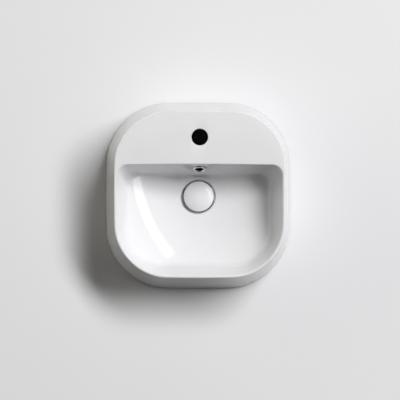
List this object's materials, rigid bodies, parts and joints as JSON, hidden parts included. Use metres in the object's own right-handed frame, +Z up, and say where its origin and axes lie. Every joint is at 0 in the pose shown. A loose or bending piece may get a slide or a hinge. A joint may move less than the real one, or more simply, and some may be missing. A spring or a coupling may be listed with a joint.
{
  "type": "countertop basin",
  "caption": "Rounded-square ceramic basin that stands on a worktop, with a tap deck, a D-shaped bowl, an overflow and a push-to-open waste with a ceramic cap.",
  "frame": {"origin": "centre of the foot, on the plane of the worktop that the basin stands on", "axes": "+Z up; +Y towards the tap deck, away from the user; +X to the user's right"},
  "size_m": [0.4, 0.404, 0.145],
  "materials": {
    "vitreous_china": "white gloss glaze",
    "chrome": "polished chrome plate",
    "stainless_steel": "plain drawn stainless steel",
    "brass": "turned brass, unplated",
    "nitrile_rubber": "matt black rubber",
    "black_polypropylene": "moulded black plastic",
    "white_acetal": "moulded white plastic"
  },
  "bodies": {
    "basin_body": {"basin": "vitreous_china", "overflow_casing": "vitreous_china", "overflow_collar": "chrome", "overflow_sleeve": "black_polypropylene", "waste_body": "chrome", "flange_gasket": "nitrile_rubber", "lower_gasket": "nitrile_rubber", "slip_washer": "white_acetal", "back_nut": "brass", "cartridge_housing": "brass", "cartridge_collar": "brass", "click_spring": "stainless_steel"},
    "push_cap": {"ceramic_cap": "vitreous_china", "cap_carrier": "chrome", "cap_seal": "nitrile_rubber", "plunger": "brass", "stem_locknut": "stainless_steel"},
    "index": {"index_ring": "white_acetal"}
  },
  "joints": [
    {"name": "cap_slide", "type": "slide", "parent": "basin_body", "child": "push_cap", "axis": [0, 0, 1], "range_m": [0, 0.008], "deforming": ["click_spring"]},
    {"name": "index_turn", "type": "hinge", "parent": "push_cap", "child": "index", "pos_m": [0, -0.003, 0.02], "axis": [0, 0, 1], "continuous": true}
  ]
}
